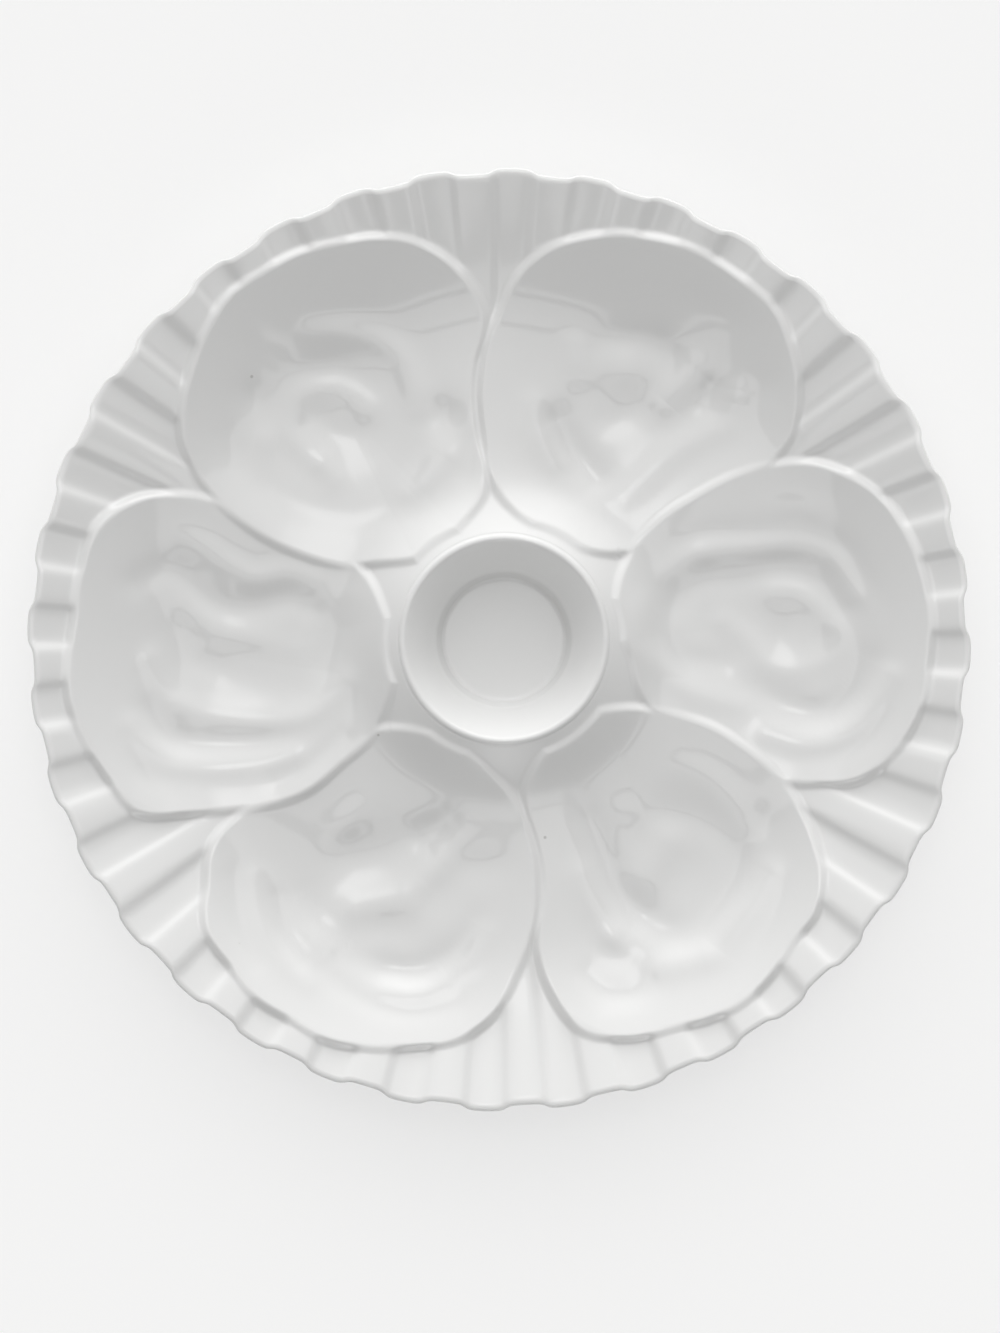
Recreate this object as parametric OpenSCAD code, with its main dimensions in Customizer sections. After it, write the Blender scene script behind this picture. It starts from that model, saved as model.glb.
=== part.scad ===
// Oyster plate: a fluted round dish with six overlapping oyster wells, a raised
// sauce cup in the middle and a foot ring underneath. It lies flat on a table,
// with its origin at the centre of the foot ring's resting plane.

/* [Rim] */
// Diameter over the scallops of the rim
plate_d = 250; // [236:1:270]
// Height of the rim's edge above the table
rim_h = 22.5; // [20:0.5:28]
// Slope of the dish under the flutes, in degrees
dish_angle = 17; // [14:0.5:20]
// Number of flutes round the rim
flute_count = 36; // [30:1:40]
// Height of a flute's ridge over its channel
flute_h = 1.6; // [0.8:0.1:2.4]
// Depth of the scallops in the rim's outline
scallop_depth = 1.6; // [0.8:0.1:2.4]
// Width over which the rim's edge rolls off
edge_w = 2.6; // [2:0.1:3.6]
// Thickness of the rounded edge
edge_t = 3; // [2.4:0.1:3.6]
// Least width of fluted rim outside a well of plain shape
rim_w = 8; // [7:0.5:10]

/* [Oyster wells] */
// Half the plain width of a well; its length fills the band from the cup to the rim
well_r = 42; // [39:0.5:44]
// Height of the well floors above the table
well_floor_z = 9; // [6.5:0.5:10.5]
// Height of a well's lip over the dish beside it
lip_h = 1.8; // [1:0.1:3]
// Width of the lip's soft outer flank
lip_w = 4.4; // [3:0.1:5.5]
// Height of the saddle between two wells
saddle_z = 11.5; // [10:0.5:13]

/* [Sauce cup] */
// Radius of the cup's rounded crest
cup_r = 27.5; // [25:0.5:29]
// Height of the crest above the table
cup_h = 20.5; // [18:0.5:23]
// Radius of the cup's flat floor
cup_floor_r = 15.4; // [13:0.1:17]
// Height of the cup's floor above the table
cup_floor_z = 6.5; // [6:0.5:9]
// How far the cup sits off the plate's centre, as the photographed plate's does
cup_shift = 1.3; // [0:0.1:2.5]
// Slope of the mound that carries the cup, in degrees
mound_angle = 31; // [26:1:36]

/* [Body and foot] */
// Thickness of the porcelain
wall = 4.5; // [4:0.1:5]
// Mean radius of the foot ring
foot_r = 66; // [62:0.5:70]
// Width of the foot ring
foot_w = 5; // [4:0.5:6]
// Height of the foot ring
foot_h = 3; // [2:0.5:3.5]

/* [Hidden] */
$fn = 96;

// Facets round a well's own outline, in each flute and round the collar
well_facets = 48;
flute_facets = 6;
collar_facets = 48;

rim_r = plate_d / 2;

// Width of the cup's outer flank, which the collar meets, and its drop
flank_w = 1.1;
flank_drop = 1.3;
cup_out_r = cup_r + flank_w;
cup_centre = [cup_shift, 0];

// Least width of collar between the cup and a well
collar_w = 0.9;

// A well reaches from the rim to the collar: half its plain length, the share of
// that by which it reaches inwards of its centre, and the ring of the centres
inward_share = 1.031;
well_reach = (rim_r - rim_w - cup_out_r - collar_w - lip_w / 2) / (1 + inward_share);
ring_r = rim_r - rim_w - well_reach;

// Angle of the first flute's ridge, and how square the flutes are, from 0 to 1
ridge_angle = 3.3;
flute_square_share = 0.55;

// The flutes fade out over this width inside the lips of the wells
flute_fade = 6;

// Soft width of the valleys where the mound, the saddles and the dish meet
blend_w = 3;

// Wells anticlockwise from the upper left, as bearings in degrees, and as shares
// of the ring radius for the distance of each from the plate's centre
well_bearings = [124.2, 60.6, 3.7, -53.7, -117.5, -176.7];
well_distance_shares = [1.03, 1.01, 0.956, 1.03, 0.988, 0.955];

// Outline of each well's lip at even steps of angle, anticlockwise from +X
outline_shares = [
    [0.88, 0.93, 1.10, 1.14, 1.13, 1.07, 0.99, 0.96, 0.93, 0.95, 0.93, 0.94,
     0.97, 1.02, 1.01, 0.99, 0.99, 1.01, 1.05, 1.08, 1.15, 1.13, 1.11, 0.94],
    [1.02, 1.01, 1.01, 0.97, 0.96, 0.97, 0.99, 1.03, 1.07, 1.08, 1.03, 1.02,
     1.02, 1.03, 1.10, 1.10, 1.05, 1.06, 1.02, 0.98, 0.94, 0.93, 0.96, 1.02],
    [1.03, 1.03, 1.04, 1.07, 1.07, 1.06, 1.00, 0.96, 0.94, 0.96, 0.98, 0.99,
     0.96, 0.90, 0.93, 0.93, 0.93, 0.96, 1.01, 1.07, 1.16, 1.15, 1.11, 1.05],
    [0.96, 0.94, 0.93, 0.93, 0.94, 0.98, 1.02, 1.10, 1.15, 1.12, 1.08, 0.90,
     0.82, 0.86, 0.99, 1.08, 1.15, 1.08, 0.98, 0.95, 0.93, 0.90, 0.88, 0.95],
    [1.07, 1.07, 1.08, 1.05, 1.05, 1.04, 1.01, 0.96, 0.93, 0.92, 0.95, 1.05,
     1.05, 1.08, 1.02, 1.01, 0.98, 1.01, 1.02, 1.05, 1.12, 1.13, 1.08, 1.08],
    [1.05, 1.02, 1.01, 0.97, 0.94, 0.93, 0.96, 1.06, 1.16, 1.18, 1.09, 1.02,
     1.02, 1.06, 1.07, 1.10, 1.16, 1.05, 0.99, 0.99, 1.00, 0.99, 1.04, 1.05]
];

// The wells from the lowest to the one whose lip lies over all it meets
stacking = [4, 1, 5, 2, 0, 3];

// How round the bowls are, from a cone at 0 upwards, and how far the lips already
// rise where they run into the cup
round_share = 0.5;
near_lip_share = 0.5;

// Share of a well's radius at each ring of its bowl and of its underside, and of
// the lip's width at each ring of its lip, from the shoulder out to the foot
bowl_ring_shares = [0.2, 0.4, 0.6, 0.8, 1];
lip_ring_shares = [1, 0.7, 0.45, 0.2, 0];
shoulder_share = 1.6;
under_ring_shares = [0.85, 0.45];

// Share of the way from the wells to the rolled edge at the rim's middle ring
bay_share = 0.3;

// Half width of the flat land under the foot ring, and the width it fades over
land_w = 9;
land_fade = 6;

// Rounding of the cup's crest and floor, of the foot, and the cup's steep wall
crest_round = 1.2;
floor_round = 1.4;
foot_round = 1;
steep_h = 4.5;
steep_w = 1.4;

// Angles where the crest's rounding leaves the cone and ends on the flank, and
// where the floor's rounding runs into the steep wall
crest_start_angle = 140;
crest_end_angle = 20;
floor_end_angle = -15;

// Where two wells don't touch, the rim and the collar meet at this radius
meet_r = ring_r;

function clamp(t) = max(0, min(1, t));
function smooth(t) = let(c = clamp(t)) c * c * (3 - 2 * c);
function mix(a, b, t) = a + (b - a) * t;
function soft_max(a, b) = (a + b + sqrt((a - b) * (a - b) + blend_w * blend_w)) / 2;
function unit(a) = [cos(a), sin(a)];
function bearing(v) = (atan2(v[1], v[0]) + 360) % 360;
function cross2(a, b) = a[0] * b[1] - a[1] * b[0];

// Smooth closed curve through evenly spaced values, at t steps along it
function curve(v, t) =
    let(n = len(v), i = floor(t), f = t - i,
        a = v[(i + n - 1) % n], b = v[i % n], c = v[(i + 1) % n], d = v[(i + 2) % n])
    b + f * (c - a + f * (2 * a - 5 * b + 4 * c - d + f * (3 * (b - c) + d - a))) / 2;

// Distance along a ray to a circle that it may enter, or a far distance
function ray_to_circle(p, u, c, r) =
    let(d = c - p, along = d * u, miss = cross2(d, u), reach = r * r - miss * miss)
    along > 0 && reach > 0 ? along - sqrt(reach) : plate_d;

well_centres = [
    for (k = [0 : len(well_bearings) - 1])
        ring_r * well_distance_shares[k] * unit(well_bearings[k])
];

// A vector from well k's centre with its part along the spoke made longer, from
// plain round to the well's length, and the way back
function along_spoke(k, v, factor) =
    let(spoke = unit(well_bearings[k]))
    v + (factor - 1) * (v * spoke) * spoke;
function stretch(k, v) = along_spoke(k, v, well_reach / well_r);
function unstretch(k, v) = along_spoke(k, v, well_r / well_reach);

// Radius of well k's plain round lip in direction a: its outline, short of the cup
function lip_r(k, a) =
    let(v = outline_shares[k],
        own = well_r * curve(v, a * len(v) / 360),
        way = stretch(k, unit(a)),
        stop = ray_to_circle(well_centres[k], way / norm(way), cup_centre, cup_out_r + collar_w))
    min(own, stop / norm(way) - lip_w / 2);
function well_point(k, r, a) = well_centres[k] + stretch(k, r * unit(a));

// Height of the dish, the saddles and the mound, before the wells and flutes
function mound_z(p) =
    cup_h - flank_drop - (norm(p - cup_centre) - cup_out_r) * tan(mound_angle);
function dish_z(p) = rim_h - (rim_r - norm(p)) * tan(dish_angle);
function base_z(p) = soft_max(soft_max(mound_z(p), saddle_z), dish_z(p));

// Wave of the flutes round the plate: 1 on a ridge and -1 in a channel
function flute_wave(a) =
    let(c = cos(flute_count * (a - ridge_angle)), k = 1 - flute_square_share)
    c * sqrt(1 + k * k) / sqrt(c * c + k * k);
function flute_z(p) =
    flute_h / 2 * flute_wave(bearing(p)) * smooth((norm(p) - ring_r) / flute_fade);

// Rise of a bowl from its floor to its lip, as shares
function bowl_share(s) =
    let(c = round_share)
    (norm([s, c]) - c) / (norm([1, c]) - c);

// Height of well k's lip over the dish, the saddles and the mound
function lip_rise(k, a) =
    let(p = well_point(k, lip_r(k, a), a))
    lip_h * smooth((norm(p - cup_centre) - cup_out_r) / well_r + near_lip_share);

// Height with well k laid over what lies under it: its bowl is sunk into the same
// dish, saddles and mound, and its lip stands on them
function paint_well(k, p, z) =
    let(v = unstretch(k, p - well_centres[k]), d = norm(v))
    d > well_r * max(outline_shares[k]) + 2 * lip_w ? z :
    let(a = bearing(v), r = lip_r(k, a), cover = 1 - smooth((d - r) / lip_w + 0.5))
    cover == 0 ? z :
    let(share = bowl_share(min(1, d / r)),
        bowl_z = base_z(p) + mix(well_floor_z - saddle_z, lip_rise(k, a), share))
    mix(z, bowl_z, cover);
function paint(p, z, i = 0) =
    i == len(stacking) ? z : paint(p, paint_well(stacking[i], p, z), i + 1);

function top_z(p) = paint(p, base_z(p) + flute_z(p));
function land(p) = 1 - smooth((abs(norm(p) - foot_r) - land_w) / land_fade);
function bottom_z(p) = mix(max(foot_h, top_z(p) - wall), foot_h, land(p));
function top(p) = [p[0], p[1], top_z(p)];
function bottom(p) = [p[0], p[1], bottom_z(p)];

// Outline of well k at the foot of its lip
function foot_outline(k) = [
    for (i = [0 : well_facets - 1])
        let(a = i * 360 / well_facets)
        well_point(k, lip_r(k, a) + lip_w / 2, a)
];
outlines = [for (k = [0 : len(well_centres) - 1]) foot_outline(k)];

function within(p, k) =
    let(v = outlines[k],
        i = floor(bearing(unstretch(k, p - well_centres[k])) * well_facets / 360),
        f = v[i], g = v[(i + 1) % well_facets])
    cross2(g - f, p - f) > 0;

// Point where segment p to q crosses segment a to b, or undef
function meet(p, q, a, b) =
    let(r = q - p, s = b - a, d = cross2(r, s))
    d == 0 ? undef :
    let(t = cross2(a - p, s) / d, u = cross2(a - p, r) / d)
    t >= 0 && t <= 1 && u >= 0 && u <= 1 ? p + t * r : undef;
function crossing(p, q, v) = [
    for (i = [0 : len(v) - 1])
        let(x = meet(p, q, v[i], v[(i + 1) % len(v)]))
        if (x != undef) [i, x]
][0];

// A closed line with the part that well k covers cut away along k's outline
function cut(line, k) =
    let(n = len(line), m = well_facets, over = outlines[k],
        hid = [for (p = line) within(p, k)],
        first = [for (i = [0 : n - 1]) if (hid[i] && !hid[(i + n - 1) % n]) i][0],
        last = [for (i = [0 : n - 1]) if (hid[i] && !hid[(i + 1) % n]) i][0])
    first == undef ? line :
    let(enter = crossing(line[(first + n - 1) % n], line[first], over),
        leave = crossing(line[last], line[(last + 1) % n], over),
        kept = (first - last - 1 + n) % n,
        steps = (enter[0] - leave[0] + m) % m)
    concat(
        [for (i = [0 : kept - 1]) line[(last + 1 + i) % n]],
        [enter[1]],
        [for (i = [0 : 1 : steps - 1]) over[(enter[0] - i + m) % m]],
        [leave[1]]
    );
function cut_by_all(line, i) =
    i == len(stacking) ? line : cut_by_all(cut(line, stacking[i]), i + 1);
function place_in_stack(k) = [for (i = [0 : len(stacking) - 1]) if (stacking[i] == k) i][0];
visible = [
    for (k = [0 : len(outlines) - 1]) cut_by_all(outlines[k], place_in_stack(k) + 1)
];

// Distances along a ray from the plate's centre to all outlines of the wells
function ray_hits(a) =
    let(u = unit(a))
    [
        for (v = outlines, i = [0 : well_facets - 1])
            let(p = v[i], q = v[(i + 1) % well_facets], f = cross2(u, p), g = cross2(u, q))
            if ((f < 0) != (g < 0) && (p + q) * u > 0)
                mix(p, q, f / (f - g)) * u
    ];
function outer_r(a) = let(hits = ray_hits(a)) len(hits) == 0 ? meet_r : max(hits);
function inner_r(a) = let(hits = ray_hits(a)) len(hits) == 0 ? meet_r : min(hits);

// Numbers in rising order without repeats
function sorted(v) =
    len(v) < 2 ? v :
    let(p = v[floor(len(v) / 2)])
    concat(sorted([for (x = v) if (x < p) x]), [p], sorted([for (x = v) if (x > p) x]));

// Even angles joined with the angles of the corners, which even ones stay off
function columns(count, start, corners) =
    let(step = 360 / count,
        even = [for (i = [0 : count - 1]) (start + i * step) % 360],
        free = [for (a = even) if (min([for (c = corners) abs(a - c)]) > step / 8) a])
    sorted(concat(free, corners));

corner_tolerance = 0.001;
outer_corners = [
    for (v = visible, p = v) if (norm(p) > outer_r(bearing(p)) - corner_tolerance) bearing(p)
];
inner_corners = [
    for (v = visible, p = v) if (norm(p) < inner_r(bearing(p)) + corner_tolerance) bearing(p)
];

// On a larger plate, gaps open between wells: angles just inside the sides of each
gap_step = 0.02;
gap_sides = [
    for (v = visible, p = v, e = [-gap_step, gap_step])
        let(a = (bearing(p) + e + 360) % 360)
        if (len(ray_hits(a)) == 0) a
];

// Solid round a closed row of columns, each a closed loop of points
module ring_solid(loops) {
    n = len(loops);
    m = len(loops[0]);
    points = [for (loop = loops, p = loop) p];
    faces = [
        for (i = [0 : n - 1], j = [0 : m - 1])
            let(a = i * m, b = (i + 1) % n * m, k = (j + 1) % m)
            each [[a + j, b + j, b + k], [a + j, b + k, a + k]]
    ];
    polyhedron(points, faces);
}

// Solid round a centre: each column runs from the top pole to the bottom one
module disc_solid(top_pole, lines, bottom_pole) {
    n = len(lines);
    m = len(lines[0]);
    points = concat([top_pole, bottom_pole], [for (line = lines, p = line) p]);
    faces = [
        for (i = [0 : n - 1])
            let(a = 2 + i * m, b = 2 + (i + 1) % n * m)
            each concat(
                [[0, b, a], [1, a + m - 1, b + m - 1]],
                [for (j = [0 : m - 2]) each [[a + j, b + j, b + j + 1], [a + j, b + j + 1, a + j + 1]]]
            )
    ];
    polyhedron(points, faces);
}

// Section of the rim in direction a: the straight dish, the rolled edge, the back
function rim_loop(a) =
    let(u = unit(a),
        inner = outer_r(a) * u,
        edge_r = rim_r - scallop_depth / 2 * (1 + flute_wave(a)),
        roll = (edge_r - edge_w) * u,
        shoulder = (edge_r - edge_w / 3) * u,
        crown_z = top_z(shoulder) - edge_t / 8,
        back = (edge_r - 2 * edge_w) * u)
    [
        top(inner),
        top(mix(inner, roll, bay_share)),
        top(roll),
        [shoulder[0], shoulder[1], crown_z],
        [edge_r * u[0], edge_r * u[1], crown_z - edge_t / 3],
        [shoulder[0], shoulder[1], crown_z - edge_t],
        bottom(back),
        bottom(inner)
    ];

module fluted_rim() {
    color("whitesmoke")
        ring_solid([
            for (a = columns(flute_count * flute_facets, ridge_angle, concat(outer_corners, gap_sides)))
                rim_loop(a)
        ]);
}

// Column of a well from its centre c to point p on its outline, and back below
function well_line(c, p) =
    let(d = norm(p - c), u = (p - c) / d, bowl_r = d - shoulder_share * lip_w)
    concat(
        [for (s = bowl_ring_shares) top(c + s * bowl_r * u)],
        [for (s = lip_ring_shares) top(c + (d - s * lip_w) * u)],
        [bottom(p)],
        [for (s = under_ring_shares) bottom(c + s * bowl_r * u)]
    );

module oyster_well(k) {
    c = well_centres[k];
    color("white")
        disc_solid(top(c), [for (p = visible[k]) well_line(c, p)], bottom(c));
}

// Section of the collar in direction a, from the cup to the wells
function collar_loop(a) =
    let(u = unit(a),
        seat_r = cup_out_r / cos(180 / collar_facets),
        near = (cup_centre * u + sqrt(seat_r * seat_r - pow(cross2(cup_centre, u), 2))) * u,
        outer = inner_r(a) * u,
        middle = (near + outer) / 2)
    [top(near), top(middle), top(outer), bottom(outer), bottom(near)];

module cup_collar() {
    color("whitesmoke")
        ring_solid([
            for (a = columns(collar_facets, 0, concat(inner_corners, gap_sides))) collar_loop(a)
        ]);
}

// Points of a rounding of radius r about c, from angle a to angle b
function arc(c, r, a, b, steps = 6) = [for (i = [0 : steps]) c + r * unit(mix(a, b, i / steps))];

module sauce_cup() {
    edge_z = base_z([cup_shift + cup_out_r, 0]);
    cone_foot = [cup_floor_r + floor_round + steep_w, cup_floor_z + steep_h];
    crest = [cup_r - crest_round / 2, cup_h - crest_round];
    inner_back = cone_foot + [wall / 2, -wall];
    color("white")
        translate([cup_shift, 0, 0])
            rotate_extrude()
                polygon(concat(
                    [[0, cup_floor_z]],
                    arc([cup_floor_r, cup_floor_z + floor_round], floor_round, -90, floor_end_angle),
                    [cone_foot],
                    arc(crest, crest_round, crest_start_angle, crest_end_angle),
                    [[cup_out_r, edge_z], [cup_out_r, edge_z - wall]],
                    [inner_back],
                    [[cup_floor_r + floor_round, foot_h], [0, foot_h]]
                ));
}

module foot_ring() {
    inner = foot_r - foot_w / 2;
    outer = foot_r + foot_w / 2;
    color("linen")
        rotate_extrude()
            polygon(concat(
                [[inner, foot_h]],
                arc([inner + foot_round, foot_round], foot_round, 180, 270),
                arc([outer - foot_round, foot_round], foot_round, 270, 360),
                [[outer, foot_h]]
            ));
}

fluted_rim();
oyster_well(0);  // oyster_well_1
oyster_well(1);  // oyster_well_2
oyster_well(2);  // oyster_well_3
oyster_well(3);  // oyster_well_4
oyster_well(4);  // oyster_well_5
oyster_well(5);  // oyster_well_6
cup_collar();
sauce_cup();
foot_ring();
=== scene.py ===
"""Oyster plate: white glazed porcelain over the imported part, in metres, seen from above."""

import logging
import math
from collections.abc import Callable, Sequence
from dataclasses import dataclass, field
from enum import Enum
from functools import partial

import bpy
import numpy as np
from bpy.types import Material, MeshEdge, Node, NodeSocket, NodeTree, Object, World
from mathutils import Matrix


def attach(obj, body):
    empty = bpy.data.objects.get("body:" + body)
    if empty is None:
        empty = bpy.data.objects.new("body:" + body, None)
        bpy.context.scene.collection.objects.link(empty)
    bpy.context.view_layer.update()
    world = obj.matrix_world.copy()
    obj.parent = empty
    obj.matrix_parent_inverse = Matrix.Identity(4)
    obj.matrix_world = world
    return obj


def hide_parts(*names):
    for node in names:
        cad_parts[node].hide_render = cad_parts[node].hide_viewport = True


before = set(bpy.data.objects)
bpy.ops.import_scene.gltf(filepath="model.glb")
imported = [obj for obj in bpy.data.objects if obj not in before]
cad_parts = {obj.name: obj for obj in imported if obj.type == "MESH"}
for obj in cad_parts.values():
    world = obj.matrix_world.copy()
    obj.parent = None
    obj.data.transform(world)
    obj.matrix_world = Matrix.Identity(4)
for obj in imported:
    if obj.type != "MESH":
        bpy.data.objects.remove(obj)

logging.basicConfig(level=logging.INFO, format="%(message)s")
log = logging.getLogger("oyster_plate")

MM = 0.001
TURN = 2 * math.pi

# Heights, distances, bearings and shares, one for each place or direction
Values = np.ndarray
# Places in plan, as complex numbers x + iy: a bearing is an angle and a distance a length
Plan = np.ndarray


class Slot(Enum):
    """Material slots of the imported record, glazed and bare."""

    GLAZE = "white_glaze"
    BARE = "bare_foot"


class Ends(Enum):
    """How the rows of a skin close: round on themselves, or in a pole at each end."""

    ROUND = "round"
    POLES = "poles"


def smooth(t: Values) -> Values:
    """Eased step from 0 to 1 as t goes from 0 to 1."""
    c = np.clip(t, 0.0, 1.0)
    return c * c * (3 - 2 * c)


def mix(a: Values | float, b: Values | float, t: Values | float) -> Values:
    """Value a share t of the way from a to b."""
    return a + (b - a) * t


def ray(angles: Values) -> Plan:
    """Unit steps in plan along the given bearings."""
    return np.exp(1j * angles)


def spline(a: Plan, b: Plan, c: Plan, d: Plan, f: Values) -> Plan:
    """Go a share f of the way from b to c on the smooth curve through four points in a row."""
    return b + f * (c - a + f * (2 * a - 5 * b + 4 * c - d + f * (3 * (b - c) + d - a))) / 2


def closed_curve(values: Sequence[float], turns: Values) -> Values:
    """Read a smooth closed curve through evenly spaced values.

    Args:
        values: What the curve passes through, at even steps of one turn.
        turns: Where to read it, in turns.

    Returns:
        The curve's value at each place.
    """
    v = np.asarray(values)
    t = np.mod(turns, 1.0) * len(v)
    i = np.floor(t).astype(int)
    return spline(*(v[(i + k) % len(v)] for k in (-1, 0, 1, 2)), t - i)


def open_curve(points: Plan, steps: int) -> Plan:
    """Draw a smooth open line through points.

    Args:
        points: What the line runs through.
        steps: Steps between each two of them.

    Returns:
        The line's places in order.
    """
    if len(points) < 3:
        return points
    p = np.concatenate([[2 * points[0] - points[1]], points, [2 * points[-1] - points[-2]]])
    f = np.arange(steps) / steps
    spans = [spline(a, b, c, d, f) for a, b, c, d in zip(p, p[1:], p[2:], p[3:])]
    return np.concatenate([*spans, points[-1:]])


@dataclass(frozen=True)
class PhotoScale:
    """Ties pixels of the photograph to places on the plate, seen from straight above."""

    centre_px: tuple[float, float] = (499.2, 639.5)
    pixel: float = 0.26455 * MM
    frame_px: tuple[int, int] = (1000, 1333)

    def place(self, x: float, y: float) -> complex:
        """Place in plan of a pixel of the photograph."""
        return complex(x - self.centre_px[0], self.centre_px[1] - y) * self.pixel


PHOTO = PhotoScale()

# Points nearer than this are one point
MERGE = 0.001 * MM
# Steps of a swell's line between two of its places
SWELL_STEPS = 6
# Steps of a ray on its way to a boundary, then halvings of the step that holds it
MARCH_STEPS = 240
HALVINGS = 26
# Places looked at for each column of a skin, and halvings that find a boundary's corners
FINE_SHARE = 4
CORNER_HALVINGS = 30
# Directions in a turned section, in degrees: towards its axis, down and away from it
INWARD, DOWN, OUTWARD = -180.0, -90.0, 0.0


@dataclass(frozen=True)
class Swell:
    """A soft ridge that the mould leaves in a bowl, or a hollow if its height is below zero.

    Its line runs through places read off the photograph, in pixels. Its height and the
    spread to each side are in millimetres, and it keeps a share of its height at its ends.
    """

    line: tuple[tuple[float, float], ...]
    height_mm: float
    spread_mm: float = 2.4
    end_share: float = 0.35

    def lift(self, p: Plan) -> Values:
        """Work out how far the swell lifts the surface.

        Args:
            p: Places in plan.

        Returns:
            The lift at each place, in metres, dying away to both sides and to the ends.
        """
        height, spread = self.height_mm * MM, self.spread_mm * MM
        path = open_curve(np.array([PHOTO.place(x, y) for x, y in self.line]), SWELL_STEPS)
        if len(path) == 1:
            return height * np.exp(-np.abs(p - path[0]) ** 2 / (2 * spread**2))
        nearest = np.full(p.shape, np.inf)
        along = np.zeros(p.shape)
        for i, (a, b) in enumerate(zip(path, path[1:])):
            t = np.clip(((p - a) * np.conj(b - a)).real / abs(b - a) ** 2, 0, 1)
            distance = np.abs(p - a - t * (b - a))
            closer = distance < nearest
            nearest = np.where(closer, distance, nearest)
            along = np.where(closer, (i + t) / (len(path) - 1), along)
        fullness = mix(self.end_share, 1.0, np.sin(math.pi * along))
        return height * fullness * np.exp(-(nearest**2) / (2 * spread**2))


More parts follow.
